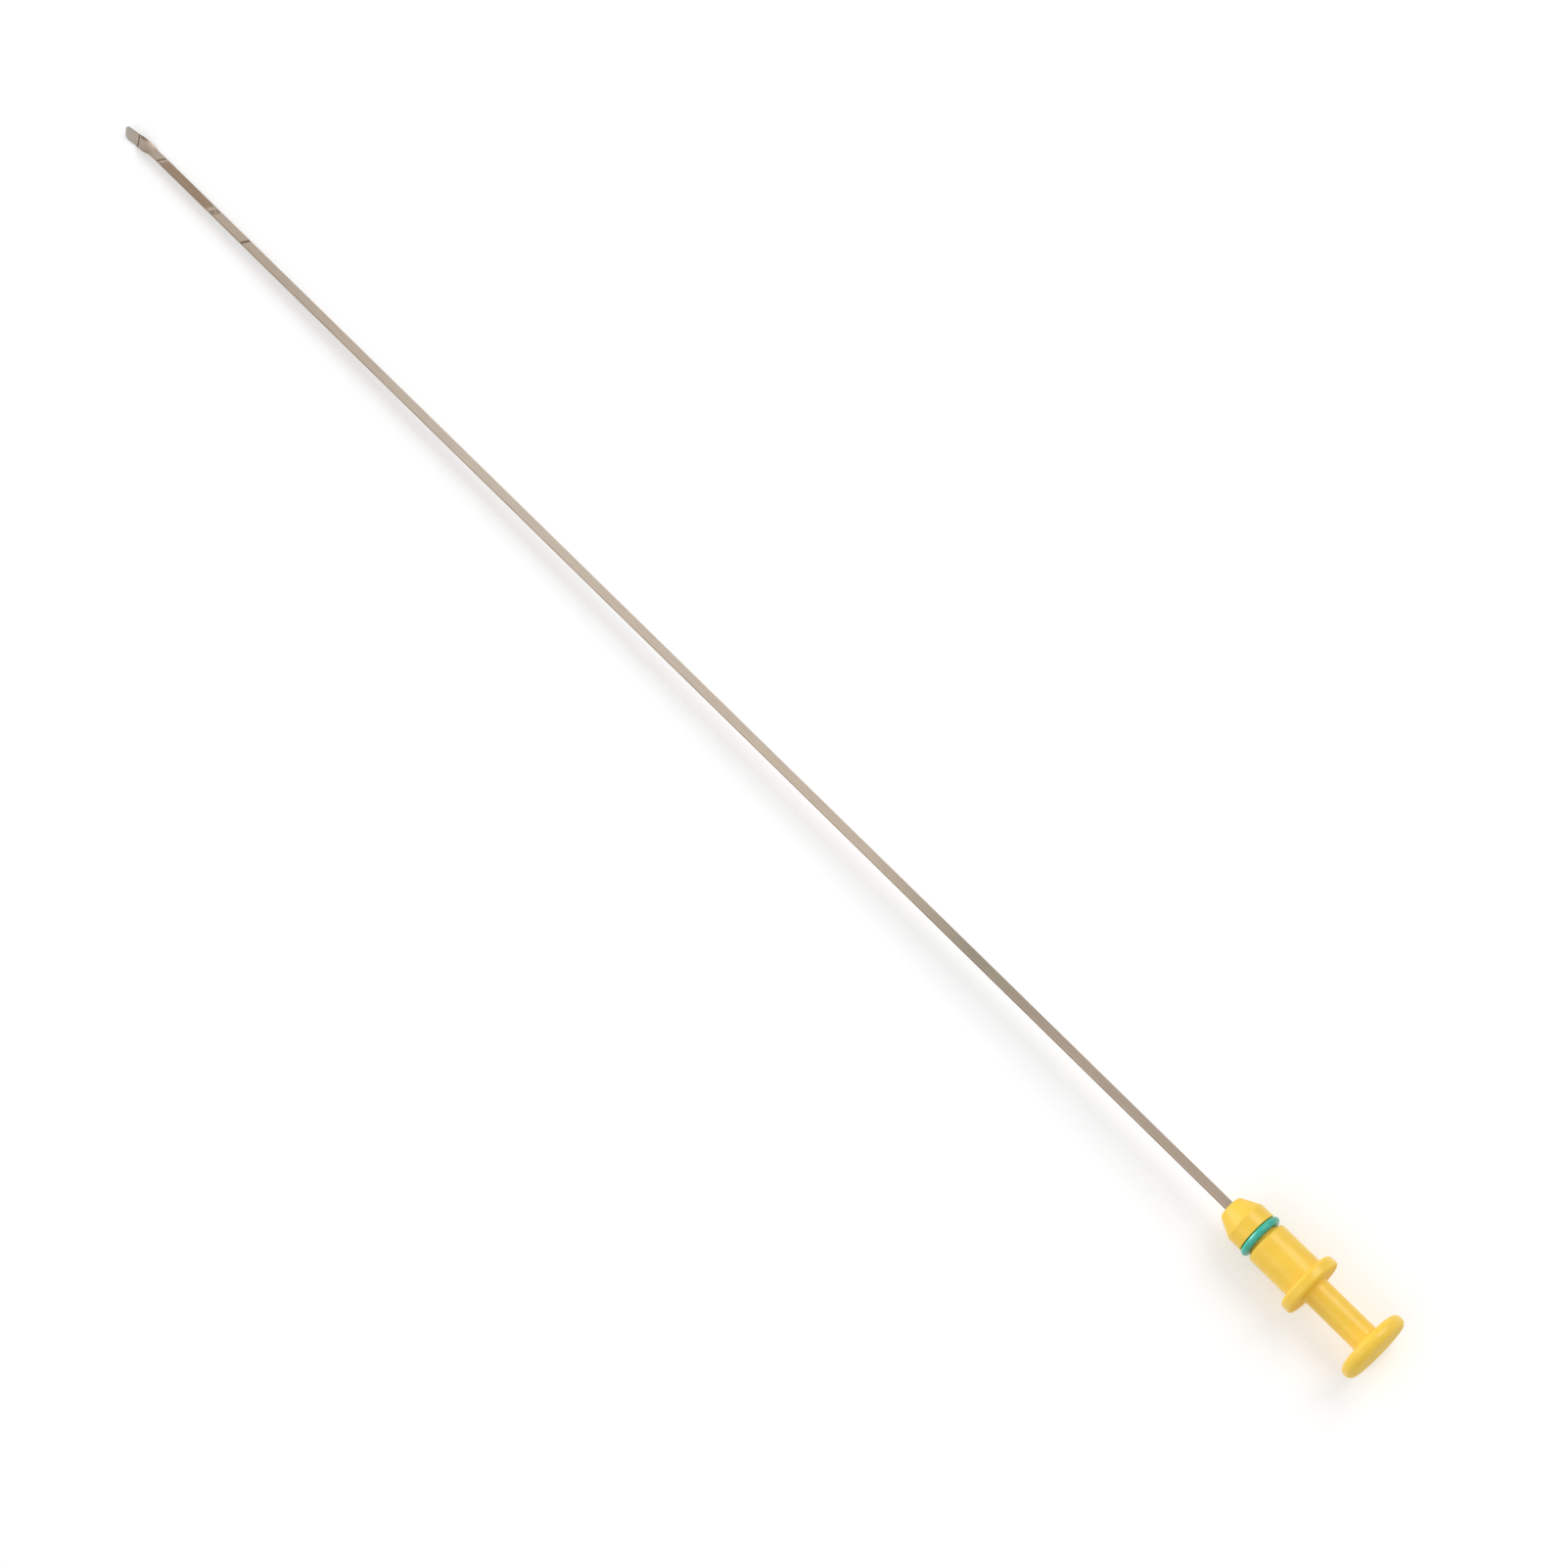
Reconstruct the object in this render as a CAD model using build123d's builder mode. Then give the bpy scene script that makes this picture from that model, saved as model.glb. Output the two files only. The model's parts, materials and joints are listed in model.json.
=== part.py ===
"""Engine oil dipstick: a moulded handle with a plug and seal ring, and a steel blade with a twisted tip.

The dipstick lies at rest on the plane Z = 0. Its head is towards +X and its tip towards -X. The rim of the
head, the strip's lower edge beside the twist and the tip plate's lower edge touch that plane.
"""
import math
import os

from build123d import *

# Handle: lengths along its axis and diameters, from the nose to the head
nose_tip_diameter = 7.6
nose_taper_length = 6.2
nose_land_length = 4.6
plug_diameter = 13.8
barrel_length = 15.7
flange_diameter = 20.0
flange_thickness = 4.0
stem_diameter = 8.8
stem_length = 20.9
head_diameter = 23.0
head_thickness = 4.4

# Handle: rounded corners of the moulding, drawn as short chords
chord_length = 0.95
nose_tip_radius = 1.3
nose_shoulder_radius = 0.8
groove_lip_radius = 0.25
barrel_lip_radius = 1.2
flange_rim_radius = min(1.5, 0.4 * flange_thickness)
stem_foot_radius = 0.9
stem_top_radius = 1.0
head_rim_radius = min(2.0, 0.48 * head_thickness)

# Seal ring and its groove
ring_section = 2.4
ring_sides = 16
ring_proud = 0.5
ring_side_room = 0.8
ring_wall_clearance = 0.15
ring_floor_clearance = 0.02

# Blade: strip section and lengths
strip_width = 4.2
strip_thickness = 0.7
edge_bevel = min(0.1, 0.2 * strip_thickness)
blade_reach = 513.2
blade_hold = 10.0
mould_clearance = 0.03
anchor_hole_diameter = 1.8
anchor_hole_inset = 4.0

# Blade: the lower end, bent to one side, with the twist and the tip plate
bend_angle = 7.0
bend_length = 12.0
twist_angle = 90.0
twist_length = 8.0
twist_sections = 7
plate_length = 5.2
plate_slant = 15.0
plate_corner_radius = 0.9

# Blade: marks, with places measured along the blade from the middle of its cut end
crease_place = 6.2
crease_width = 0.5
crease_depth = 0.2
low_mark_place = 17.5
low_mark_width = 0.6
gauge_start = 18.7
gauge_length = 24.4
gauge_pitch = 0.64
serration_width = 0.48
serration_depth = 0.14
full_mark_place = 45.7
full_mark_width = 1.9
full_dot_diameter = 1.0
upper_mark_place = 61.6
upper_mark_width = 0.9
mark_depth = 0.16

# Places along the handle's axis, from the stop face of the flange towards the head
nose_radius = nose_tip_diameter / 2
plug_radius = plug_diameter / 2
flange_radius = flange_diameter / 2
stem_radius = stem_diameter / 2
head_radius = head_diameter / 2
groove_floor_radius = plug_radius - (ring_section - ring_proud)
lip_place = -barrel_length
groove_wall_place = lip_place - ring_section - ring_side_room
shoulder_place = groove_wall_place - nose_land_length
nose_place = shoulder_place - nose_taper_length
head_place = flange_thickness + stem_length
end_place = head_place + head_thickness
rim_place = head_place + head_rim_radius
blade_end_place = lip_place + blade_hold

# Places along the blade, from its cut end towards the handle
blade_length = blade_reach + blade_end_place - nose_place
twist_end = plate_length + twist_length
bend_end = plate_length + bend_length

# How it rests: the slope and roll at which the head's rim, strip and plate all touch, found by turns
half_width = strip_width / 2
half_thickness = strip_thickness / 2
slant_run = half_width * math.tan(math.radians(plate_slant))
corner_run = plate_corner_radius * math.tan(math.radians(45 - plate_slant / 2))
edge_run = twist_end - slant_run - corner_run
twist = math.radians(twist_angle)
roll_arm = 2 * (half_width * math.cos(twist / 2) - half_thickness * math.sin(twist / 2))


def drop(angle):
    """How far the strip's bevelled section reaches below its centre when it is rolled by an angle."""
    at_side = half_width * math.sin(angle) + (half_thickness - edge_bevel) * math.cos(angle)
    at_face = (half_width - edge_bevel) * math.sin(angle) + half_thickness * math.cos(angle)
    return max(at_side, at_face)


slope = 0.0
roll = twist / 2
for turn in range(40):
    roll += (edge_run * math.tan(slope) + drop(twist - roll) - drop(roll)) / roll_arm
    rise = (head_radius - drop(roll)) * math.cos(slope)
    slope = math.asin(rise / (rim_place - blade_end_place + blade_length - twist_end))
strip_roll = math.degrees(roll)

# Frames of the handle: the centre of the stop face, the axis towards the head, and a plane through the axis
stop_x = (blade_reach - nose_place - end_place) / 2
stop_height = head_radius * math.cos(slope) - rim_place * math.sin(slope)
stop_point = Vector(stop_x, 0, stop_height)
axis_direction = Vector(math.cos(slope), 0, math.sin(slope))
handle_axis = Axis(stop_point, axis_direction)
axial_plane = Plane(stop_point, x_dir=axis_direction, z_dir=(0, -1, 0))

# The bend of the lower end, about an upright axis at the blade's side
blade_end = stop_point + axis_direction * blade_end_place
bend_side = Vector(0, -1, 0)
bend_radius = bend_length / math.radians(bend_angle)
bend_centre = blade_end - axis_direction * (blade_length - bend_end) + bend_side * bend_radius
bend_axis = Axis(bend_centre, bend_side.cross(axis_direction))


def turned(vector, direction, angle):
    """Vector turned about a direction by an angle in degrees."""
    return vector.rotate(Axis((0, 0, 0), direction), angle)


def blade_frame(place):
    """Plane across the blade at a distance from its cut end, rolled with the twist and facing the tip."""
    bent = bend_angle * min(max(bend_end - place, 0) / bend_length, 1)
    twisted = twist_angle * min(max(twist_end - place, 0) / twist_length, 1)
    straight = axis_direction * max(place - bend_end, 0) - bend_side * bend_radius
    normal = turned(-axis_direction, bend_axis.direction, bent)
    across = turned(turned(bend_side, bend_axis.direction, bent), normal, strip_roll - twisted)
    origin = bend_centre + turned(straight, bend_axis.direction, bent)
    return Plane(origin, x_dir=across, z_dir=normal).offset(max(plate_length - place, 0))


def gauge_frame(place):
    """Plane along the blade at a distance from its cut end, on its gauge face and seen along its width."""
    frame = blade_frame(place)
    return Plane(frame.origin + frame.y_dir * half_thickness, x_dir=-frame.z_dir, z_dir=frame.x_dir)


strip_plane = blade_frame(blade_length)
anchor_plane = Plane(blade_end, x_dir=-axis_direction, z_dir=strip_plane.y_dir)
plate_start = blade_frame(plate_length)
plate_plane = Plane(plate_start.origin, x_dir=plate_start.z_dir, z_dir=plate_start.y_dir)
crease_start = blade_frame(crease_place)
crease_plane = Plane(crease_start.origin, x_dir=crease_start.z_dir, z_dir=crease_start.y_dir)
full_mark_plane = gauge_frame(full_mark_place)
dot_plane = Plane(full_mark_plane.origin, x_dir=full_mark_plane.x_dir, z_dir=full_mark_plane.y_dir)


def rounded(corners):
    """Outline through corners given as (x, y, radius), with each arc drawn as short chords."""
    outline = []
    for index, (x, y, radius) in enumerate(corners):
        corner = Vector(x, y)
        back = (Vector(corners[index - 1][:2]) - corner).normalized()
        ahead = (Vector(corners[(index + 1) % len(corners)][:2]) - corner).normalized()
        half_angle = math.radians(back.get_angle(ahead)) / 2
        centre = corner + (back + ahead).normalized() * (radius / math.sin(half_angle))
        first = corner + back * (radius / math.tan(half_angle)) - centre
        arc = math.copysign(math.pi - 2 * half_angle, ahead.cross(back).Z)
        chords = math.ceil(radius * abs(arc) / chord_length)
        outline.append(centre + first)
        for step in range(chords):
            outline.append(centre + turned(first, (0, 0, 1), math.degrees(arc) * (step + 1) / chords))
    return outline


os.makedirs("parts", exist_ok=True)

# Handle: one moulding, turned about its axis, with the slot that the strip is moulded into
handle_corners = (
    (nose_place, 0, 0),
    (nose_place, nose_radius, nose_tip_radius),
    (shoulder_place, plug_radius, nose_shoulder_radius),
    (groove_wall_place, plug_radius, groove_lip_radius),
    (groove_wall_place, groove_floor_radius, 0),
    (lip_place, groove_floor_radius, 0),
    (lip_place, plug_radius, barrel_lip_radius),
    (0, plug_radius, 0),
    (0, flange_radius, flange_rim_radius),
    (flange_thickness, flange_radius, flange_rim_radius),
    (flange_thickness, stem_radius, stem_foot_radius),
    (head_place, stem_radius, stem_top_radius),
    (head_place, head_radius, head_rim_radius),
    (end_place, head_radius, head_rim_radius),
    (end_place, 0, 0),
)
with BuildPart() as handle:
    with BuildSketch(axial_plane):
        with BuildLine():
            Polyline(*rounded(handle_corners), close=True)
        make_face()
    revolve(axis=handle_axis)

    # Slot for the strip, open at the nose
    with BuildSketch(strip_plane.offset(-mould_clearance)) as slot:
        Rectangle(strip_width + 2 * mould_clearance, strip_thickness + 2 * mould_clearance)
        chamfer(slot.vertices(), edge_bevel)
    extrude(amount=blade_length - blade_reach + nose_taper_length, mode=Mode.SUBTRACT)

    # Peg of plastic that fills the strip's anchor hole
    with BuildSketch(anchor_plane):
        with Locations((anchor_hole_inset, 0)):
            Circle(anchor_hole_diameter / 2 - mould_clearance)
    extrude(amount=strip_thickness, both=True)
handle.part.label = "handle"
export_step(handle.part, "parts/handle.step")

# Seal ring: a round-section ring on the floor of the groove, against the nose side
ring_place = groove_wall_place + ring_wall_clearance + ring_section / 2
ring_centre_radius = groove_floor_radius + ring_floor_clearance + ring_section / 2
with BuildPart() as seal_ring:
    with BuildSketch(axial_plane):
        with Locations((ring_place, ring_centre_radius)):
            RegularPolygon(ring_section / 2, ring_sides)
    revolve(axis=handle_axis)
seal_ring.part.label = "seal_ring"
export_step(seal_ring.part, "parts/seal_ring.step")

# Blade: one steel strip, with the tip plate, the twist, and the marks pressed into its upper face
serration_count = int(gauge_length / gauge_pitch)
level_marks = (
    (low_mark_place, low_mark_width),
    (full_mark_place, full_mark_width),
    (upper_mark_place, upper_mark_width),
)
with BuildPart() as blade:
    # Tip plate, cut off at a slant, with rounded corners and bevelled edges
    with BuildSketch(plate_plane.offset(-half_thickness)) as plate_outline:
        with BuildLine():
            Polyline(
                (0, -half_width),
                (plate_length + slant_run, -half_width),
                (plate_length - slant_run, half_width),
                (0, half_width),
                close=True,
            )
        make_face()
        fillet(plate_outline.vertices().sort_by(Axis.X)[-2:], plate_corner_radius)
    extrude(amount=strip_thickness)
    along_plate = Axis(plate_start.origin, plate_start.z_dir)
    for side in blade.faces().filter_by(Axis(plate_start.origin, plate_plane.z_dir)):
        chamfer(side.edges().sort_by(along_plate)[1:], edge_bevel)

    # Twist between the plate and the strip
    for step in range(twist_sections):
        share = step / (twist_sections - 1)
        with BuildSketch(blade_frame(plate_length + share * twist_length)) as section:
            Rectangle(strip_width, strip_thickness)
            chamfer(section.vertices(), edge_bevel)
    loft()

    # Crease across the start of the twist, parallel to the cut end
    with BuildSketch(crease_plane.offset(half_thickness - crease_depth)):
        Rectangle(crease_width, 2 * strip_width, rotation=plate_slant)
    extrude(amount=strip_thickness, mode=Mode.SUBTRACT)

    # Bent stretch of the strip, from the twist to the end of the bend
    with BuildSketch(blade_frame(bend_end)) as section:
        Rectangle(strip_width, strip_thickness)
        chamfer(section.vertices(), edge_bevel)
    revolve(axis=bend_axis, revolution_arc=bend_angle * (bend_end - twist_end) / bend_length)

    # Straight strip, with the anchor hole in its buried end
    with BuildSketch(strip_plane) as section:
        Rectangle(strip_width, strip_thickness)
        chamfer(section.vertices(), edge_bevel)
    extrude(amount=blade_length - bend_end)
    with BuildSketch(anchor_plane):
        with Locations((anchor_hole_inset, 0)):
            Circle(anchor_hole_diameter / 2)
    extrude(amount=strip_thickness, both=True, mode=Mode.SUBTRACT)

    # Serrations of the gauge zone, and the level marks beside it
    for index in range(serration_count):
        with BuildSketch(gauge_frame(gauge_start + (index + 0.5) * gauge_pitch)):
            Polygon(
                (-serration_width / 2, 0),
                (0, -serration_depth),
                (serration_width / 2, 0),
                (0, serration_depth),
            )
    for place, width in level_marks:
        with BuildSketch(gauge_frame(place)):
            Rectangle(width, 2 * mark_depth)
    extrude(amount=strip_width, both=True, mode=Mode.SUBTRACT)

    # Raised dot in the full mark
    with BuildSketch(dot_plane.offset(-mark_depth)):
        Circle(full_dot_diameter / 2)
    extrude(amount=mark_depth)
blade.part.label = "blade"
export_step(blade.part, "parts/blade.step")

print(f"slope at rest {math.degrees(slope):.4f} degrees, roll of the strip {strip_roll:.4f} degrees")
print(f"stop face centre {tuple(stop_point)}, axis {tuple(axis_direction)}")
print(f"cut end {tuple(blade_frame(0).origin)}, strip volume {blade.part.volume:.2f}")
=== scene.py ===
# %% [markdown]
# # An engine oil dipstick in studio light
#
# An oil dipstick is a long steel blade on a handle that plugs its tube. The imported model holds its
# construction: a moulded handle, a rubber seal ring and a steel blade. This lesson gives each of them a
# finished surface. First the frame is loaded, because every new piece is placed by it. Lengths are in
# metres and angles in radians, unless a name says otherwise.

# %% Load the frame
import json
import math

import bmesh
import bpy
import numpy as np
from mathutils import Matrix, Vector


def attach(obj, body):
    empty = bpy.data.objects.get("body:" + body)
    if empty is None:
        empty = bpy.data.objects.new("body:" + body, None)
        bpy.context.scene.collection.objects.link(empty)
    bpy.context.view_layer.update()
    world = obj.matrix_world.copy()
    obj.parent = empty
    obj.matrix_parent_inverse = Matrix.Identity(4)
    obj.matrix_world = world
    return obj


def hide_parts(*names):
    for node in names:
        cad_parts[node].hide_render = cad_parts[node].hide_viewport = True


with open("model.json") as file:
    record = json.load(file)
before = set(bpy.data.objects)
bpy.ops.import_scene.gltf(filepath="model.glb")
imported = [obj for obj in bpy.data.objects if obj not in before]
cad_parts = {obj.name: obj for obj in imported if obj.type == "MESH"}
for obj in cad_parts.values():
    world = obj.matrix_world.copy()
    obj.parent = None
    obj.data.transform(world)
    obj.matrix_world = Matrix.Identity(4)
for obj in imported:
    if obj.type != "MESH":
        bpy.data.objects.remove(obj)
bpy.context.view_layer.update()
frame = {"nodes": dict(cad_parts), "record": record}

print("nodes:", sorted(frame["nodes"]))

# %% [markdown]
# ## The handle's axis
#
# The dipstick lies on the floor, so its axis slopes a little. The record says where the plug is and
# which way it points, and that is all that is needed to stand a new piece on the same axis: a point,
# and three directions. Places along the axis are measured from the flange's stop face towards the head.

# %% Axis of the handle, from the plug mount
MM = 0.001
PLUG_MOUNT_PLACE = -8.0 * MM
plug = next(mount for mount in frame["record"]["mounts"] if mount["name"] == "plug")
AXIS = -np.array(plug["axis"])
SIDE = np.array((0.0, 1.0, 0.0))
UP = np.cross(AXIS, SIDE)
STOP = np.array(plug["pos_m"]) - PLUG_MOUNT_PLACE * AXIS
print("stop face at", STOP.round(5), "axis", AXIS.round(4))

# %% [markdown]
# ## Meshes from grids
#
# Each new surface is a grid of points, worked out as whole arrays. Two small helpers turn such a grid
# into a mesh: one lists the four corners of every cell, and one makes the object, closes its poles and
# shades it smooth up to a given edge angle.

# %% From a grid of points to an object
MERGE_DISTANCE = 1e-7


def grid_cells(rows, columns):
    """Corner numbers of each cell of a grid whose last column joins its first."""
    row, column = np.meshgrid(np.arange(rows - 1), np.arange(columns), indexing="ij")
    after = (column + 1) % columns
    cells = np.stack((row * columns + column, row * columns + after,
                      (row + 1) * columns + after, (row + 1) * columns + column), axis=-1)
    return cells.reshape(-1, 4)


def make_piece(name, points, sharp_degrees=40.0, fields=None, capped=False):
    """Object at the origin whose faces are the cells of a grid of points.

    Doubled points are merged, which closes poles and seams, and the faces are turned outwards. Fields
    are numbers noted on the points, for the finishes to read. A capped piece also has a face over its
    first row and one over its last.
    """
    rows, columns = points.shape[:2]
    faces = grid_cells(rows, columns).tolist()
    if capped:
        faces += [list(range(columns)), list(range((rows - 1) * columns, rows * columns))]
    mesh = bpy.data.meshes.new(name)
    mesh.from_pydata(points.reshape(-1, 3).tolist(), [], faces)
    for field, values in (fields or {}).items():
        noted = mesh.attributes.new(field, "FLOAT", "POINT")
        noted.data.foreach_set("value", values.ravel().astype(np.float32))
    shell = bmesh.new()
    shell.from_mesh(mesh)
    bmesh.ops.remove_doubles(shell, verts=shell.verts, dist=MERGE_DISTANCE)
    bmesh.ops.recalc_face_normals(shell, faces=shell.faces)
    shell.to_mesh(mesh)
    shell.free()
    mesh.shade_smooth()
    mesh.set_sharp_from_angle(angle=math.radians(sharp_degrees))
    piece = bpy.data.objects.new(name, mesh)
    bpy.context.scene.collection.objects.link(piece)
    print(name, "has", len(mesh.vertices), "points and", len(mesh.polygons), "faces")
    return piece


# %% [markdown]
# ## The handle
#
# The real handle is one plastic moulding, turned in form: nose, plug, stop flange, stem and pull head.
# It could be joined from cylinders and bevelled, but a profile carried round an axis gives the whole
# form at once, with no joint to hide. The profile is a list of corners with their roundings, and every
# rounding becomes an arc. Two fine ridges run along the sides, where the halves of the mould met.

# %% Sizes of the handle: places along its axis, radii from the axis, and roundings
NOSE_PLACE = -29.7 * MM
SHOULDER_PLACE = -23.5 * MM
GROOVE_PLACE = -18.9 * MM
LIP_PLACE = -15.7 * MM
FLANGE_THICKNESS = 4.0 * MM
HEAD_PLACE = 24.9 * MM
END_PLACE = 29.3 * MM
NOSE_RADIUS = 3.8 * MM
PLUG_RADIUS = 6.9 * MM
GROOVE_RADIUS = 5.0 * MM
FLANGE_RADIUS = 10.0 * MM
STEM_RADIUS = 4.4 * MM
HEAD_RADIUS = 11.5 * MM
NOSE_ROUNDING = 1.3 * MM
SHOULDER_ROUNDING = 0.8 * MM
GROOVE_EDGE_ROUNDING = 0.25 * MM
GROOVE_FLOOR_ROUNDING = 0.12 * MM
LIP_ROUNDING = 1.2 * MM
FLANGE_FOOT_ROUNDING = 0.25 * MM
FLANGE_PLUG_SIDE_ROUNDING = 1.4 * MM
FLANGE_HEAD_SIDE_ROUNDING = 1.0 * MM
STEM_FOOT_ROUNDING = 0.9 * MM
STEM_TOP_ROUNDING = 1.0 * MM
HEAD_ROUNDING = 2.0 * MM
HANDLE_CORNERS = (
    (NOSE_PLACE, 0.0, 0.0),
    (NOSE_PLACE, NOSE_RADIUS, NOSE_ROUNDING),
    (SHOULDER_PLACE, PLUG_RADIUS, SHOULDER_ROUNDING),
    (GROOVE_PLACE, PLUG_RADIUS, GROOVE_EDGE_ROUNDING),
    (GROOVE_PLACE, GROOVE_RADIUS, GROOVE_FLOOR_ROUNDING),
    (LIP_PLACE, GROOVE_RADIUS, GROOVE_FLOOR_ROUNDING),
    (LIP_PLACE, PLUG_RADIUS, LIP_ROUNDING),
    (0.0, PLUG_RADIUS, FLANGE_FOOT_ROUNDING),
    (0.0, FLANGE_RADIUS, FLANGE_PLUG_SIDE_ROUNDING),
    (FLANGE_THICKNESS, FLANGE_RADIUS, FLANGE_HEAD_SIDE_ROUNDING),
    (FLANGE_THICKNESS, STEM_RADIUS, STEM_FOOT_ROUNDING),
    (HEAD_PLACE, STEM_RADIUS, STEM_TOP_ROUNDING),
    (HEAD_PLACE, HEAD_RADIUS, HEAD_ROUNDING),
    (END_PLACE, HEAD_RADIUS, HEAD_ROUNDING),
    (END_PLACE, 0.0, 0.0),
)
print("handle of", round((END_PLACE - NOSE_PLACE) / MM, 1), "mm with", len(HANDLE_CORNERS), "corners")


# %% Profile with rounded corners
def rounded_line(corners, steps):
    """Line through the corners, each a place in two directions and the radius of its arc.

    An arc of radius q at a corner of angle c touches both edges q / tan(c / 2) from the corner, and its
    points are the mix of its two end directions, seen from its centre, brought to length q.
    """
    places, radii = np.split(np.array(corners), [2], axis=1)
    share = np.linspace(0.0, 1.0, steps)[:, None]
    line = [places[:1]]
    for before, here, after, radius in zip(places, places[1:], places[2:], radii[1:]):
        back = (before - here) / np.linalg.norm(before - here)
        ahead = (after - here) / np.linalg.norm(after - here)
        half = 0.5 * math.acos(np.dot(back, ahead))
        centre = here + (back + ahead) / np.linalg.norm(back + ahead) * radius / math.sin(half)
        first = here + back * radius / math.tan(half) - centre
        last = here + ahead * radius / math.tan(half) - centre
        ray = (1.0 - share) * first + share * last
        line.append(centre + radius * ray / np.linalg.norm(ray, axis=1, keepdims=True))
    line.append(places[-1:])
    return np.concatenate(line)


HANDLE_ARC_STEPS = 9
handle_line = rounded_line(HANDLE_CORNERS, HANDLE_ARC_STEPS)
print("profile of", len(handle_line), "points")

# %% Turn the profile about the axis
SEAM_HEIGHT = 0.05 * MM
SEAM_ANGLE_WIDTH = 0.012
SEAM_ANGLE_REACH = 3 * SEAM_ANGLE_WIDTH
SEAM_FULL_RADIUS = 4.0 * MM
SEAMS = (0.5 * math.pi, 1.5 * math.pi)


def round_axis(angles):
    """Direction away from the axis at each angle: cos(angle) * up + sin(angle) * side."""
    return np.cos(angles)[:, None] * UP + np.sin(angles)[:, None] * SIDE


def turned(line, angles):
    """Point(place, angle) = stop + place * axis + radius * (direction at the angle).

    The radius grows by a narrow bell-shaped ridge at each mould seam, which fades towards the axis.
    """
    place, radius = line.T[:, :, None]
    ridge = sum(np.exp(-((angles - seam) / SEAM_ANGLE_WIDTH) ** 2) for seam in SEAMS)
    radius = radius + SEAM_HEIGHT * ridge * np.clip(radius / SEAM_FULL_RADIUS, 0.0, 1.0)
    return STOP + place[:, :, None] * AXIS + radius[:, :, None] * round_axis(angles)


def end_face_share(line):
    """How squarely each point of the profile faces along the axis: how much of its step goes across.

    It is 1 on the flat ends of head and flange and 0 on the turned sides, and it goes from one to the
    other round a corner.
    """
    step_along, step_across = np.abs(np.gradient(line, axis=0)).T
    return step_across / np.hypot(step_along, step_across)


TURN_STEPS = 144
SEAM_STEPS = 15
ANGLE_DECIMALS = 6
even_angles = np.linspace(0.0, 2 * math.pi, TURN_STEPS, endpoint=False)
across_seam = np.linspace(-SEAM_ANGLE_REACH, SEAM_ANGLE_REACH, SEAM_STEPS)
seam_angles = [seam + across_seam for seam in SEAMS]
turn_angles = np.unique(np.concatenate([even_angles, *seam_angles]).round(ANGLE_DECIMALS))
handle_fields = {"end_face": np.repeat(end_face_share(handle_line), len(turn_angles))}
handle = make_piece("moulded_handle", turned(handle_line, turn_angles), fields=handle_fields)

# %% [markdown]
# ## The seal ring
#
# An O-ring is a round section carried round a circle. Stretched over the plug it lies against the nose
# side of its groove. Blender's own torus would do for a plain ring, but this one has a faint line round
# its outside, the flash of the mould that it came from, so its section is worked out.

# %% Ring with a flash line
RING_SECTION = 2.4 * MM
RING_WALL_GAP = 0.15 * MM
RING_FLOOR_GAP = 0.02 * MM
RING_PLACE = GROOVE_PLACE + RING_WALL_GAP + 0.5 * RING_SECTION
RING_CENTRE_RADIUS = GROOVE_RADIUS + RING_FLOOR_GAP + 0.5 * RING_SECTION
FLASH_HEIGHT = 0.03 * MM
FLASH_ANGLE_WIDTH = 0.06


def ring_surface(around_steps, section_steps):
    """Point(angle, turn) = stop + place * axis + radius * (direction at the angle).

    The turn goes round the section: place and radius move by the section's radius times its sine and
    cosine. The section's radius grows by a narrow bell-shaped ridge on the outside.
    """
    angle = np.linspace(0.0, 2 * math.pi, around_steps + 1)
    turn = np.linspace(-math.pi, math.pi, section_steps, endpoint=False)
    section = 0.5 * RING_SECTION + FLASH_HEIGHT * np.exp(-(turn / FLASH_ANGLE_WIDTH) ** 2)
    place = RING_PLACE + section * np.sin(turn)
    radius = RING_CENTRE_RADIUS + section * np.cos(turn)
    return STOP + place[:, None] * AXIS + radius[:, None] * round_axis(angle)[:, None, :]


ring = make_piece("seal_o_ring", ring_surface(around_steps=192, section_steps=64), sharp_degrees=80.0)

# %% [markdown]
# ## The blade
#
# The blade is a steel strip. It could be a flat bar with bend and twist modifiers, but its marks are
# too fine for those to carry well. So its section, a flat bar with rounded edges, is carried from the
# cut end to the handle along a line that bends a little to one side at the lower end. On the way the
# section turns a quarter turn in the twist, and its upper face dips into the level marks, the fine
# serrations between them and the crease where the twist starts. The strip is rolled to the angle at
# which the dipstick comes to rest. The stations lie close together where there is detail, and far apart
# along the plain strip.

# %% Sizes of the strip and of its lower end
STRIP_WIDTH = 4.2 * MM
STRIP_THICKNESS = 0.7 * MM
EDGE_RADIUS = 0.15 * MM
BLADE_REACH = 513.2 * MM
BURIED = 8.0 * MM
PLATE_LENGTH = 5.2 * MM
PLATE_SLANT = math.tan(math.radians(15.0))
LONG_CORNER = 0.9 * MM
SHORT_CORNER = 2.0 * MM
TWIST_LENGTH = 8.0 * MM
TWIST_END = PLATE_LENGTH + TWIST_LENGTH
BEND_ANGLE = math.radians(7.0)
BEND_LENGTH = 12.0 * MM
BEND_RADIUS = BEND_LENGTH / BEND_ANGLE
BEND_POINT = STOP + (NOSE_PLACE - BLADE_REACH + PLATE_LENGTH + BEND_LENGTH) * AXIS
STRIP_ROLL = math.radians(49.84)
PLATE_ROLL = STRIP_ROLL - 0.5 * math.pi
print("the bend starts at", BEND_POINT.round(5), "with a radius of", round(BEND_RADIUS / MM, 1), "mm")

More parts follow.
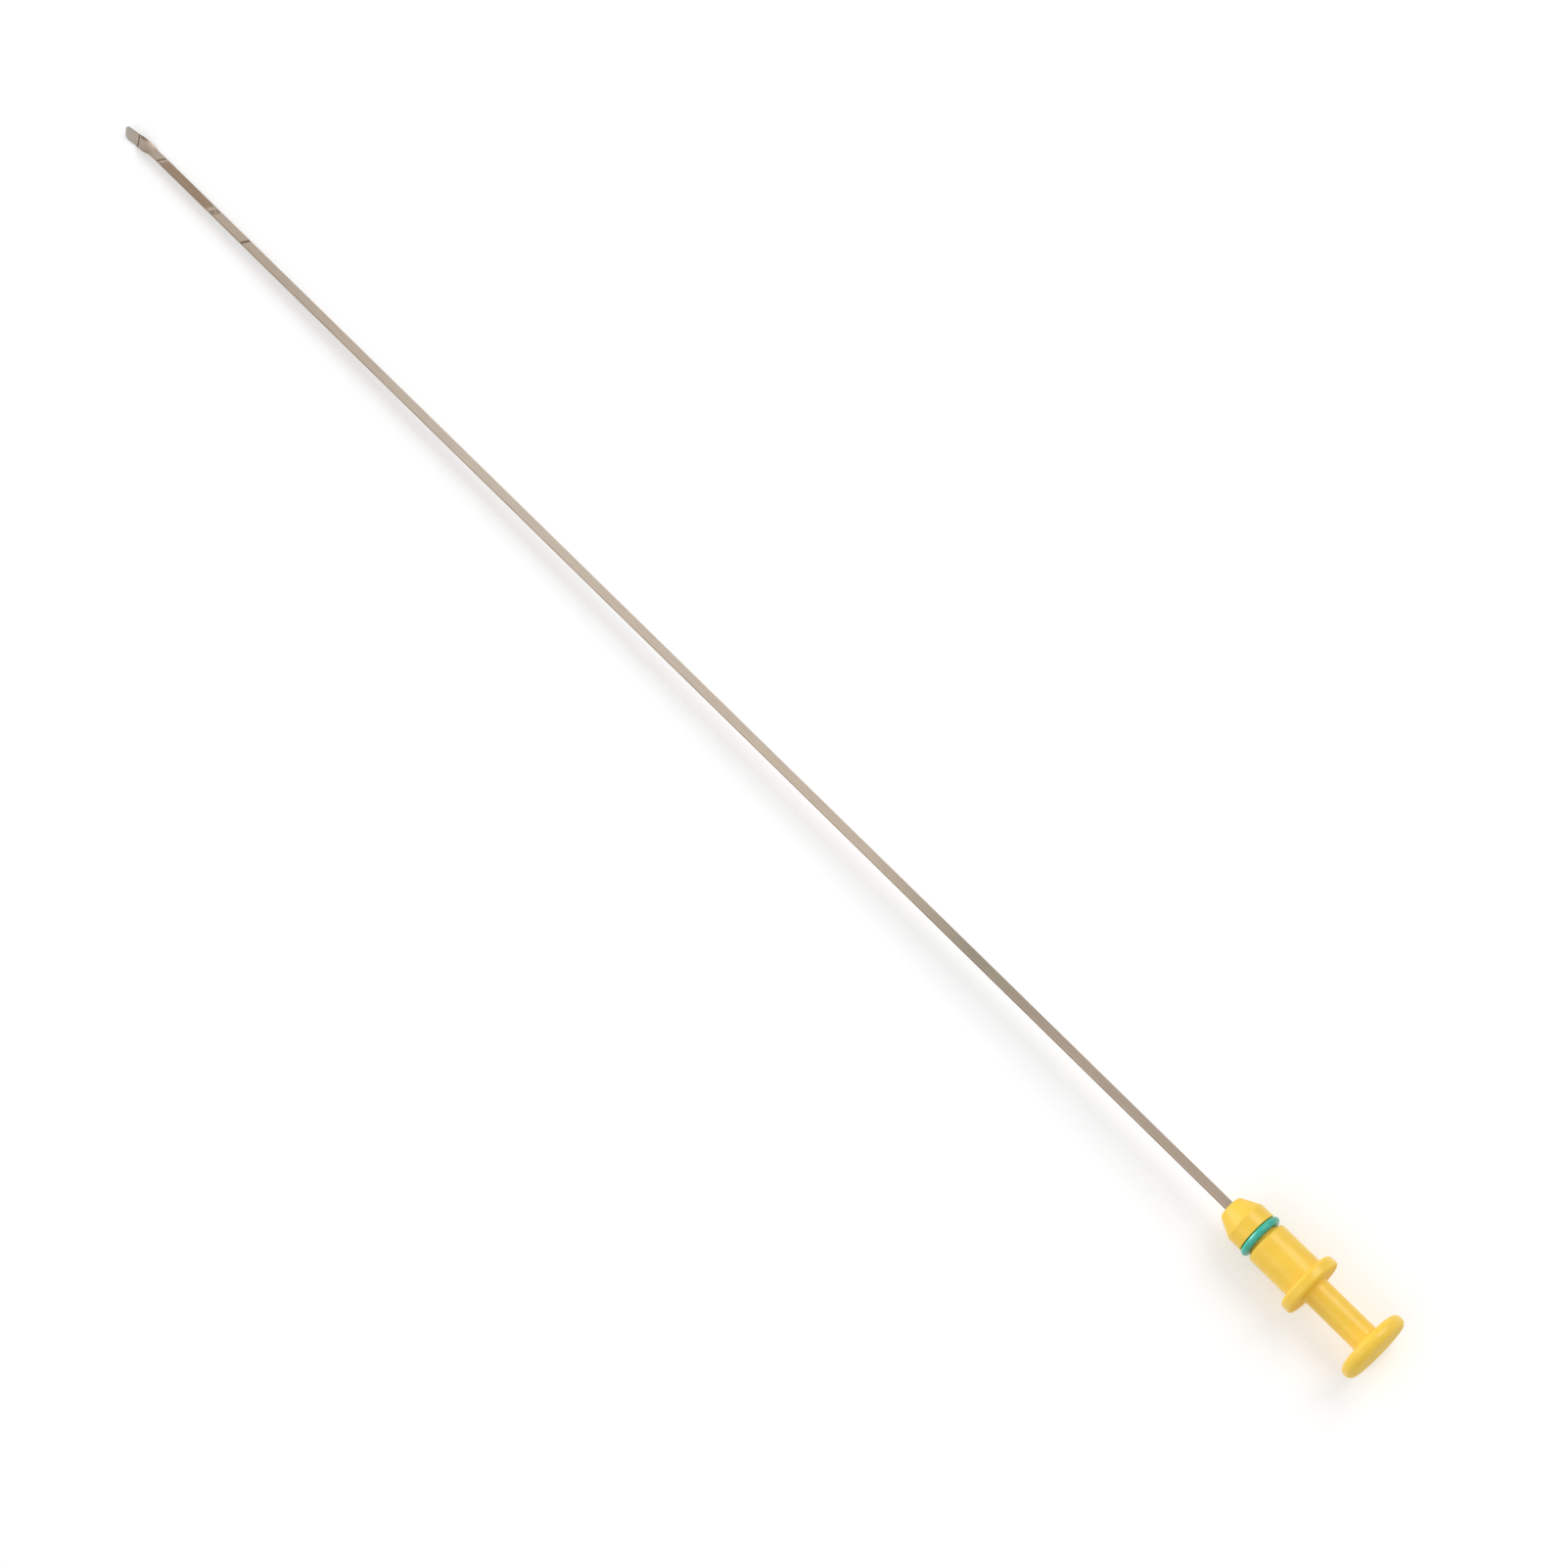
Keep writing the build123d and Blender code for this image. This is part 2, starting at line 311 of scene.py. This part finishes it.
# %% Marks, each with its place from the middle of the cut end
CREASE_PLACE = 6.2 * MM
CREASE_WIDTH = 0.5 * MM
CREASE_DEPTH = 0.2 * MM
LOW_MARK = (17.5 * MM, 0.6 * MM)
FULL_MARK = (45.7 * MM, 1.9 * MM)
UPPER_MARK = (61.6 * MM, 0.9 * MM)
LEVEL_MARKS = (LOW_MARK, FULL_MARK, UPPER_MARK)
MARK_DEPTH = 0.16 * MM
DOT_RADIUS = 0.5 * MM
GAUGE_START = 18.7 * MM
GAUGE_PITCH = 0.64 * MM
GAUGE_TEETH = 38
GAUGE_END = GAUGE_START + GAUGE_TEETH * GAUGE_PITCH
TOOTH_WIDTH = 0.48 * MM
TOOTH_DEPTH = 0.14 * MM
print("serrations from", round(GAUGE_START / MM, 2), "to", round(GAUGE_END / MM, 2), "mm")

# %% [markdown]
# The plate at the lower end is cut off at a slant, with a tight corner on its longer side and a wider
# one on its shorter side. Its outline is drawn once, from side to side round the tip, and the reach of
# the strip on each side is read from it.

# %% How far the plate reaches on each side
OUTLINE_ARC_STEPS = 40
half_width = STRIP_WIDTH / 2
plate_outline = rounded_line((
    (PLATE_LENGTH, -half_width, 0.0),
    (-half_width * PLATE_SLANT, -half_width, LONG_CORNER),
    (half_width * PLATE_SLANT, half_width, SHORT_CORNER),
    (PLATE_LENGTH, half_width, 0.0),
), OUTLINE_ARC_STEPS)
tip = plate_outline[:, 0].argmin()
tip_reach = plate_outline[tip, 0]
low_side = plate_outline[tip::-1].T
high_side = plate_outline[tip:].T
print("the tip reaches", round(-tip_reach / MM, 3), "mm past the middle of the cut end")


# %% How deep the upper face dips, and where it is painted darker: painted shade and a painted shadow
def dips(along, across):
    """Depth of the upper face under its plain level: the crease, the level marks and the serrations.

    The crease slants as the cut end does, each serration is a valley with two straight sides, and a dot
    in the middle of the full mark is left standing.
    """
    in_crease = np.abs(along - CREASE_PLACE - across * PLATE_SLANT) < 0.5 * CREASE_WIDTH
    depth = CREASE_DEPTH * in_crease
    for place, width in LEVEL_MARKS:
        depth = np.maximum(depth, MARK_DEPTH * (np.abs(along - place) < 0.5 * width))
    from_valley = np.abs(np.mod(along - GAUGE_START, GAUGE_PITCH) - 0.5 * GAUGE_PITCH)
    valley = TOOTH_DEPTH * np.clip(1.0 - from_valley / (0.5 * TOOTH_WIDTH), 0.0, 1.0)
    in_gauge = (along > GAUGE_START) & (along < GAUGE_END)
    depth = np.maximum(depth, in_gauge * valley)
    on_dot = (along - FULL_MARK[0]) ** 2 + across ** 2 < DOT_RADIUS ** 2
    return np.where(on_dot, 0.0, depth)


# The marks are painted darker by their depth, as painted shade, and the full mark less so.
FULL_MARK_SHADE = 0.65
# A painted shadow: a dark spot at the edge of the strip beside the crease.
PAINTED_SHADOW_PLACE = (7.1 * MM, -1.9 * MM)
PAINTED_SHADOW_SIZE = (1.5 * MM, 0.9 * MM)


def painted_shade_share(along, across, depth):
    """How dark the upper face is painted: painted shade in the marks by their depth, and a painted
    shadow.

    The marks include the crease and the serrations, and the full mark is painted lighter than the
    others.
    The painted shadow is a bell-shaped spot beside the crease.
    """
    full_place, full_width = FULL_MARK
    near_full_mark = np.abs(along - full_place) < full_width
    in_marks = np.clip(depth / MARK_DEPTH, 0.0, 1.0) * np.where(near_full_mark, FULL_MARK_SHADE, 1.0)
    shadow_along = (along - PAINTED_SHADOW_PLACE[0]) / PAINTED_SHADOW_SIZE[0]
    shadow_across = (across - PAINTED_SHADOW_PLACE[1]) / PAINTED_SHADOW_SIZE[1]
    return np.maximum(in_marks, np.exp(-shadow_along ** 2 - shadow_across ** 2))


# %% Stations along the blade
PLATE_STATIONS = 121
TIP_START = 0.004 * MM
TIP_CROWDING = 1.5
TWIST_STATIONS = 121
TOOTH_STATIONS = 8
MARK_STATIONS = 41
STRIP_STATIONS = 161
STATION_DECIMALS = 8

plate_steps = np.linspace(0.0, 1.0, PLATE_STATIONS) ** TIP_CROWDING
stations = np.unique(np.concatenate([
    tip_reach + TIP_START + (PLATE_LENGTH - tip_reach) * plate_steps,
    np.linspace(PLATE_LENGTH, TWIST_END, TWIST_STATIONS),
    GAUGE_START + np.linspace(0.0, GAUGE_TEETH * GAUGE_PITCH, GAUGE_TEETH * TOOTH_STATIONS + 1),
    *[np.linspace(place - width, place + width, MARK_STATIONS) for place, width in LEVEL_MARKS],
    np.linspace(TWIST_END, BLADE_REACH + BURIED, STRIP_STATIONS),
]).round(STATION_DECIMALS))
print(len(stations), "stations")

# %% [markdown]
# The section is traced in six parts, from one edge of the upper face round to the same edge again: the
# upper face, two quarters of the first rounded edge, the back, and two quarters of the other edge. Each
# point has three numbers: the angle that the surface faces there, in degrees from the upper face, and
# where the middle of its rounding lies across the strip and in level, from -1 to 1. Only the upper face
# needs many points, for its marks.

# %% Points round the section
SECTION_PARTS = (
    (0.0, np.linspace(-1.0, 1.0, 17), 1.0),
    (np.linspace(22.5, 90.0, 4), 1.0, 1.0),
    (np.linspace(90.0, 180.0, 5), 1.0, -1.0),
    (180.0, np.linspace(0.5, -1.0, 4), -1.0),
    (np.linspace(202.5, 270.0, 4), -1.0, -1.0),
    (np.linspace(270.0, 337.5, 4), -1.0, 1.0),
)
section_points = np.concatenate([np.broadcast_arrays(*part) for part in SECTION_PARTS], axis=1)
section_turn = np.radians(section_points[0])
section_across, section_level = section_points[1:]
print(len(section_turn), "points round the section")


# %% Carry the section along the blade
def blade_frames(along):
    """Middle of the section at each distance from the cut end, its width direction and face direction.

    The line is straight, then an arc, then straight again: at the angle turned from the end of the
    bend, a point of the arc is centre + radius * (cos(angle) * side - sin(angle) * axis). The section
    rolls with the twist.
    """
    angle = BEND_ANGLE * np.clip(1.0 - (along - PLATE_LENGTH) / BEND_LENGTH, 0.0, 1.0)[:, None]
    ahead = np.cos(angle) * AXIS + np.sin(angle) * SIDE
    aside = np.cos(angle) * SIDE - np.sin(angle) * AXIS
    past_bend = np.maximum(along - PLATE_LENGTH - BEND_LENGTH, 0.0)
    on_plate = np.minimum(along - PLATE_LENGTH, 0.0)
    middle = BEND_POINT + BEND_RADIUS * (aside - SIDE) + (past_bend + on_plate)[:, None] * ahead
    share = np.clip((along - PLATE_LENGTH) / TWIST_LENGTH, 0.0, 1.0)
    roll = (PLATE_ROLL + (STRIP_ROLL - PLATE_ROLL) * share)[:, None]
    wide = np.sin(roll) * UP - np.cos(roll) * aside
    facing = np.cos(roll) * UP + np.sin(roll) * aside
    return middle, wide, facing


# Painted shade on the sheared edges of the strip: its sides are painted darker.
EDGE_PAINTED_SHADE = 0.45


def blade_surface(along):
    """Point(station, turn) = middle + across * width direction + level * face direction.

    Across and level trace a bar with rounded edges, and the marks cut the level down. A field comes
    with the points: how dark each is painted, with painted shade in the marks and on the edges of the
    strip, and a painted shadow beside the crease.
    """
    low = np.interp(along, *low_side)
    high = np.interp(along, *high_side)
    rounding = np.minimum(EDGE_RADIUS, 0.5 * (high - low))[:, None]
    half = 0.5 * (high - low)[:, None] - rounding
    across = 0.5 * (low + high)[:, None] + half * section_across + rounding * np.sin(section_turn)
    level = (0.5 * STRIP_THICKNESS - rounding) * section_level + rounding * np.cos(section_turn)
    depth = dips(along[:, None], across)
    level = np.minimum(level, 0.5 * STRIP_THICKNESS - depth)
    # Painted shade in the marks and a painted shadow, on the upper face only.
    painted_shade = np.where(section_level > 0.0, painted_shade_share(along[:, None], across, depth), 0.0)
    # Painted shade on the edges of the strip.
    painted_shade = np.maximum(painted_shade, EDGE_PAINTED_SHADE * np.sin(section_turn) ** 2)
    middle, wide, facing = (direction[:, None, :] for direction in blade_frames(along))
    return middle + across[:, :, None] * wide + level[:, :, None] * facing, {"painted_shade": painted_shade}


blade_points, blade_fields = blade_surface(stations)
blade = make_piece("steel_blade", blade_points, sharp_degrees=25.0, fields=blade_fields, capped=True)

# %% [markdown]
# ## Finishes
#
# Each finish is a Principled shader with its colour, roughness and relief driven by noise on Object
# coordinates, in metres, so a noise scale of 1000 has features about a millimetre across. Painted
# images would do it too, but noise has no resolution and needs no unwrapping. Short helpers keep the
# node trees readable.


# %% Helpers for finishes: what they read from a piece
def new_finish(name):
    """Material with a Principled shader, its node tree and that shader."""
    material = bpy.data.materials.new(name)
    material.use_nodes = True
    print("finish:", name)
    return material, material.node_tree, material.node_tree.nodes["Principled BSDF"]


def add_node(tree, kind, values=None, links=None):
    """Node with these input values, and links from other nodes' outputs to its inputs."""
    node = tree.nodes.new(kind)
    for socket, value in (values or {}).items():
        node.inputs[socket].default_value = value
    for socket, output in (links or {}).items():
        tree.links.new(output, node.inputs[socket])
    return node


def add_place(tree):
    """Place on the piece, in metres: its Object coordinates."""
    return add_node(tree, "ShaderNodeTexCoord").outputs["Object"]


def add_field(tree, name):
    """Number that was noted on the piece's points under this name."""
    field = add_node(tree, "ShaderNodeAttribute")
    field.attribute_name = name
    return field.outputs["Fac"]


def add_noise(tree, where, scale, detail):
    """Noise of a given scale, from 0 to 1."""
    values = {"Scale": scale, "Detail": detail}
    return add_node(tree, "ShaderNodeTexNoise", values, {"Vector": where}).outputs["Fac"]


# %% Helpers for finishes: what they make of it
def add_range(tree, factor, ends, spread=(0.0, 1.0)):
    """Number that goes from one end to the other as the factor crosses its spread."""
    values = {"From Min": spread[0], "From Max": spread[1], "To Min": ends[0], "To Max": ends[1]}
    return add_node(tree, "ShaderNodeMapRange", values, {"Value": factor}).outputs["Result"]


def add_ramp(tree, factor, positions, colours):
    """Colour ramp through the colours at their positions, driven by a factor.

    New stops start in the middle of the ramp and are then moved to their positions.
    """
    ramp = add_node(tree, "ShaderNodeValToRGB", links={"Fac": factor})
    while len(ramp.color_ramp.elements) < len(colours):
        ramp.color_ramp.elements.new(0.5)
    for element, position, colour in zip(ramp.color_ramp.elements, positions, colours):
        element.position = position
        element.color = (*colour, 1.0)
    return ramp.outputs["Color"]


def multiplied(tree, colour, tone):
    """Product of two colours."""
    mix = tree.nodes.new("ShaderNodeMix")
    mix.data_type = "RGBA"
    mix.blend_type = "MULTIPLY"
    mix.inputs["Factor"].default_value = 1.0
    tree.links.new(colour, mix.inputs["A"])
    tree.links.new(tone, mix.inputs["B"])
    return mix.outputs["Result"]


def add_relief(tree, shader, height, distance, strength):
    """Bump of the shader's normal by a height from 0 to 1, over a distance in metres."""
    values = {"Strength": strength, "Distance": distance}
    bump = add_node(tree, "ShaderNodeBump", values, {"Height": height})
    tree.links.new(bump.outputs["Normal"], shader.inputs["Normal"])


# %% [markdown]
# ### Yellow plastic
#
# Pigmented nylon from a lightly textured mould: a warm yellow with a satin gloss, a grain of a few
# tenths of a millimetre, and a little light scattered under the surface, which softens the shaded side.
# The flat ends of head and flange are duller than the turned sides, and the field noted on the handle
# says where they are.

# %% Yellow plastic of the handle
NOISE_SPREAD = (0.3, 0.7)
YELLOWS = ((0.90, 0.575, 0.046), (0.96, 0.63, 0.060))
YELLOW_CLOUD_SCALE = 140.0
PLASTIC_GRAIN_SCALE = 3800.0
PLASTIC_ROUGHNESS = (0.27, 0.35)
END_FACE_DULLNESS = 0.32
PLASTIC_RELIEF = 0.012 * MM
PLASTIC_SCATTER_DEPTH = 0.8 * MM


def yellow_plastic():
    """Cloudy yellow, with the roughness of its grain plus that of the end faces."""
    material, tree, shader = new_finish("yellow_plastic")
    where = add_place(tree)
    cloud = add_noise(tree, where, YELLOW_CLOUD_SCALE, detail=3.0)
    tree.links.new(add_ramp(tree, cloud, NOISE_SPREAD, YELLOWS), shader.inputs["Base Color"])
    grain = add_noise(tree, where, PLASTIC_GRAIN_SCALE, detail=2.0)
    grain_roughness = add_range(tree, grain, PLASTIC_ROUGHNESS, NOISE_SPREAD)
    dullness = add_range(tree, add_field(tree, "end_face"), (0.0, END_FACE_DULLNESS))
    roughness = add_node(tree, "ShaderNodeMath", links={0: grain_roughness, 1: dullness})
    tree.links.new(roughness.outputs["Value"], shader.inputs["Roughness"])
    add_relief(tree, shader, grain, PLASTIC_RELIEF, strength=0.6)
    shader.inputs["Subsurface Weight"].default_value = 0.08
    shader.inputs["Subsurface Radius"].default_value = (1.0, 0.5, 0.15)
    shader.inputs["Subsurface Scale"].default_value = PLASTIC_SCATTER_DEPTH
    return material


# %% [markdown]
# ### Seal rubber
#
# A blue-green rubber, smooth and a little oily, so its gloss is sharper than that of the plastic beside
# it.

# %% Blue-green rubber of the seal ring
BLUE_GREENS = ((0.004, 0.355, 0.26), (0.010, 0.43, 0.315))
RUBBER_CLOUD_SCALE = 420.0
RUBBER_GRAIN_SCALE = 6000.0
RUBBER_ROUGHNESS = (0.18, 0.26)
RUBBER_RELIEF = 0.008 * MM


def seal_rubber():
    """Cloudy blue-green with a fine grain and a strong gloss."""
    material, tree, shader = new_finish("seal_rubber")
    where = add_place(tree)
    cloud = add_noise(tree, where, RUBBER_CLOUD_SCALE, detail=3.0)
    tree.links.new(add_ramp(tree, cloud, NOISE_SPREAD, BLUE_GREENS), shader.inputs["Base Color"])
    grain = add_noise(tree, where, RUBBER_GRAIN_SCALE, detail=2.0)
    tree.links.new(add_range(tree, grain, RUBBER_ROUGHNESS, NOISE_SPREAD), shader.inputs["Roughness"])
    add_relief(tree, shader, grain, RUBBER_RELIEF, strength=0.5)
    shader.inputs["Specular IOR Level"].default_value = 0.75
    return material


# %% [markdown]
# ### Blade steel
#
# Rolled spring steel, dull and slightly tarnished. Fine streaks run along the strip, and its tone drifts
# from zone to zone: grey on the plate, browner along the serrations, lighter in the middle and darker
# towards the handle. The lighter middle and the darker stretch are painted reflection. The field noted
# on the blade gives painted shade in the marks and on the sheared edges, and a painted shadow beside the
# crease.

# %% Tones of the steel, with painted reflection, by distance from the cut end
GREY_STEEL = (0.43, 0.39, 0.34)
WARM_STEEL = (0.39, 0.315, 0.25)
BROWNED_STEEL = (0.39, 0.295, 0.21)
PALE_STEEL = (0.44, 0.365, 0.29)
FAIR_STEEL = (0.51, 0.42, 0.34)
BRIGHT_REFLECTION_STEEL = (0.53, 0.45, 0.37)
DIM_REFLECTION_STEEL = (0.31, 0.265, 0.20)
ZONE_EDGE = 0.4 * MM
# The lighter middle and the darker stretch towards the handle are painted reflection.
STEEL_TONES_AND_REFLECTIONS = (
    (0.0, GREY_STEEL),
    (10.0 * MM, WARM_STEEL),
    (GAUGE_START - ZONE_EDGE, PALE_STEEL),
    (GAUGE_START, BROWNED_STEEL),
    (GAUGE_END, BROWNED_STEEL),
    (GAUGE_END + ZONE_EDGE, PALE_STEEL),
    (80.0 * MM, PALE_STEEL),
    (170.0 * MM, BRIGHT_REFLECTION_STEEL),
    (270.0 * MM, BRIGHT_REFLECTION_STEEL),
    (360.0 * MM, FAIR_STEEL),
    (405.0 * MM, DIM_REFLECTION_STEEL),
    (450.0 * MM, WARM_STEEL),
)
print(len(STEEL_TONES_AND_REFLECTIONS), "places of tone along the blade")

# %% Rolled steel of the blade
STREAK_SCALE = 5200.0
STREAK_SQUEEZE = (0.02, 1.0, 1.0)
STREAK_SPREAD = (0.25, 0.75)
STREAK_TONES = ((0.86, 0.86, 0.86), (1.10, 1.10, 1.10))
PAINTED_SHADE_SPREAD = (0.1, 0.9)
PAINTED_SHADE_TONES = ((1.0, 1.0, 1.0), (0.47, 0.39, 0.34))
STEEL_ROUGHNESS = (0.34, 0.50)
STEEL_RELIEF = 0.006 * MM


def blade_steel():
    """Metal whose colour is the product of its zone's tone, its streaks and its painted shade.

    The ramp of tones runs from the cut end to the nose of the handle, with painted reflection in it.
    """
    material, tree, shader = new_finish("blade_steel")
    where = add_place(tree)
    along = add_node(tree, "ShaderNodeSeparateXYZ", links={"Vector": where}).outputs["X"]
    nose = STOP + NOSE_PLACE * AXIS
    cut_end = STOP + (NOSE_PLACE - BLADE_REACH) * AXIS
    share = add_range(tree, along, (0.0, 1.0), (cut_end[0], nose[0]))
    places, tones = zip(*STEEL_TONES_AND_REFLECTIONS)
    # The ramp of tones holds painted reflection along the strip.
    tone_and_reflection = add_ramp(tree, share, np.array(places) / BLADE_REACH, tones)
    squeezed = add_node(tree, "ShaderNodeMapping", {"Scale": STREAK_SQUEEZE}, {"Vector": where})
    streaks = add_noise(tree, squeezed.outputs["Vector"], STREAK_SCALE, detail=3.0)
    streak_tone = add_ramp(tree, streaks, STREAK_SPREAD, STREAK_TONES)
    # Painted shade in the marks and on the edges, and the painted shadow, darken the colour.
    painted_shade_tone = add_ramp(tree, add_field(tree, "painted_shade"), PAINTED_SHADE_SPREAD, PAINTED_SHADE_TONES)
    colour = multiplied(tree, multiplied(tree, tone_and_reflection, streak_tone), painted_shade_tone)
    tree.links.new(colour, shader.inputs["Base Color"])
    tree.links.new(add_range(tree, streaks, STEEL_ROUGHNESS, NOISE_SPREAD), shader.inputs["Roughness"])
    add_relief(tree, shader, streaks, STEEL_RELIEF, strength=0.5)
    shader.inputs["Metallic"].default_value = 1.0
    return material


# %% Dress the pieces and let them stand for the solids
for piece, node, slot, finish in ((handle, "handle", "yellow_plastic", yellow_plastic()),
                                  (ring, "seal_ring", "seal_rubber", seal_rubber()),
                                  (blade, "blade", "blade_steel", blade_steel())):
    piece.data.materials.append(finish)
    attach(piece, "root")
    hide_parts(node)
    print(piece.name, "stands for", node)

# %% [markdown]
# ## Stage, light and camera
#
# The floor is a plain white surface with a faint glow, which shows only to the camera and in
# reflections. So the ground is pale, keeps a soft shadow, and adds no light of its own to the scene. The
# sky is done in the same way: where it is seen it is white, and as a light it is weaker.


# %% Floor
def add_seen_share(tree):
    """1 for rays from the camera and for reflected or transmitted rays, and 0 for light."""
    path = add_node(tree, "ShaderNodeLightPath").outputs
    seen = path["Is Camera Ray"]
    for name in ("Is Glossy Ray", "Is Transmission Ray"):
        either = add_node(tree, "ShaderNodeMath", links={0: seen, 1: path[name]})
        either.operation = "MAXIMUM"
        seen = either.outputs["Value"]
    return seen


WHITE = (1.0, 1.0, 1.0, 1.0)
FLOOR_COLOUR = (0.86, 0.86, 0.86, 1.0)
FLOOR_GLOW = 0.30
FLOOR_REACH = 15.0
floor_corners = FLOOR_REACH * np.array(((-1, -1, 0), (1, -1, 0), (1, 1, 0), (-1, 1, 0)))
floor_mesh = bpy.data.meshes.new("floor")
floor_mesh.from_pydata(floor_corners.tolist(), [], [(0, 1, 2, 3)])
floor = bpy.data.objects.new("floor", floor_mesh)
bpy.context.scene.collection.objects.link(floor)
floor_finish, floor_tree, floor_shader = new_finish("white_floor")
floor_shader.inputs["Base Color"].default_value = FLOOR_COLOUR
floor_shader.inputs["Roughness"].default_value = 0.9
floor_shader.inputs["Specular IOR Level"].default_value = 0.0
floor_shader.inputs["Emission Color"].default_value = WHITE
floor_glow = add_range(floor_tree, add_seen_share(floor_tree), (0.0, FLOOR_GLOW))
floor_tree.links.new(floor_glow, floor_shader.inputs["Emission Strength"])
floor_mesh.materials.append(floor_finish)
print("floor reaches", FLOOR_REACH, "m each way")

# %% Sky
SKY_LIGHT = 0.58
SKY_SEEN = 1.0
world = bpy.data.worlds.new("studio")
bpy.context.scene.world = world
world.use_nodes = True
sky = world.node_tree.nodes["Background"]
sky.inputs["Color"].default_value = WHITE
sky_strength = add_range(world.node_tree, add_seen_share(world.node_tree), (SKY_LIGHT, SKY_SEEN))
world.node_tree.links.new(sky_strength, sky.inputs["Strength"])
print("sky lights with", SKY_LIGHT, "and is seen as", SKY_SEEN)


# %% [markdown]
# A broad soft lamp stands on the far side of the dipstick, above it, and gives the plug and the stem
# their long highlights. A weaker one on the near side keeps the shaded flanks open. Two soft lamps share
# a place beyond the tip: one brightens the handle's surfaces that face the tip, and the other draws a
# bright line on the nose side of the seal ring. Each of those two lights one piece alone, because on the
# blade they would make a hot spot at the twist.

# %% Lamps
def add_lamp(name, place, aim, size, power):
    """Area lamp of a width and height at a place, turned to its aim."""
    data = bpy.data.lights.new(name, "AREA")
    data.shape = "RECTANGLE"
    data.size, data.size_y = size
    data.energy = power
    lamp = bpy.data.objects.new(name, data)
    lamp.location = place
    lamp.rotation_euler = (Vector(aim) - Vector(place)).to_track_quat("-Z", "Y").to_euler()
    bpy.context.scene.collection.objects.link(lamp)
    print("lamp:", name, power, "W")
    return lamp


def light_only(lamp, piece):
    """Let a lamp light one piece alone."""
    lit = bpy.data.collections.new(lamp.name)
    lit.objects.link(piece)
    lamp.light_linking.receiver_collection = lit


BLADE_AIM = (0.05, 0.0, 0.0)
PLUG_AIM = (0.24, 0.0, 0.01)
BEYOND_TIP = (-1.9, -0.70, 0.6)
TIP_LAMP_SIZE = (1.2, 1.0)
add_lamp("key", place=(0.15, 1.25, 1.2), aim=BLADE_AIM, size=(1.05, 1.05), power=10.5)
add_lamp("fill", place=(0.1, -1.3, 1.3), aim=BLADE_AIM, size=(1.2, 1.2), power=4.0)
for name, power, piece in (("tip_side", 21.0, handle), ("ring_glint", 38.0, ring)):
    light_only(add_lamp(name, BEYOND_TIP, PLUG_AIM, TIP_LAMP_SIZE, power), piece)

# %% [markdown]
# The camera looks down on the dipstick from beyond its head, so the tip is further away than the handle
# and looks narrower. Its place is given in the handle's own directions: how far beyond the stop face,
# how far from the axis, and how much it leans to the near side. It is rolled so that the dipstick
# crosses the picture from corner to corner. Its focal length is given in pixels of the picture.

# %% Where the camera stands and how it is turned
CAMERA_PLACE = 134.3 * MM
CAMERA_DISTANCE = 1063.8 * MM
CAMERA_LEAN = math.radians(2.0)
AIM_PLACE = -217.2 * MM
AIM_ASIDE = -3.1 * MM
AXIS_SLANT = math.radians(44.46)

away = math.cos(CAMERA_LEAN) * UP - math.sin(CAMERA_LEAN) * SIDE
lens_point = STOP + CAMERA_PLACE * AXIS + CAMERA_DISTANCE * away
aim_point = STOP + AIM_PLACE * AXIS + AIM_ASIDE * SIDE
back = (lens_point - aim_point) / np.linalg.norm(lens_point - aim_point)
along_view = AXIS - np.dot(AXIS, back) * back
along_view /= np.linalg.norm(along_view)
aside_view = np.cross(back, along_view)
right = math.cos(AXIS_SLANT) * along_view + math.sin(AXIS_SLANT) * aside_view
upward = -math.sin(AXIS_SLANT) * along_view + math.cos(AXIS_SLANT) * aside_view
placing = np.eye(4)
placing[:3] = np.stack((right, upward, back, lens_point), axis=1)
print("camera at", lens_point.round(4), "looking at", aim_point.round(4))

# %% Camera
PICTURE_PIXELS = 1602
FOCAL_PIXELS = 3743.0
SENSOR_WIDTH_MM = 36.0
NEAREST = 0.05

camera_data = bpy.data.cameras.new("camera")
camera_data.sensor_width = SENSOR_WIDTH_MM
camera_data.lens = FOCAL_PIXELS / PICTURE_PIXELS * SENSOR_WIDTH_MM
camera_data.clip_start = NEAREST
camera = bpy.data.objects.new("camera", camera_data)
camera.matrix_world = Matrix(placing.tolist())
bpy.context.scene.collection.objects.link(camera)
bpy.context.scene.camera = camera
bpy.context.scene.view_settings.view_transform = "Standard"
print("lens", round(camera_data.lens, 2), "mm")
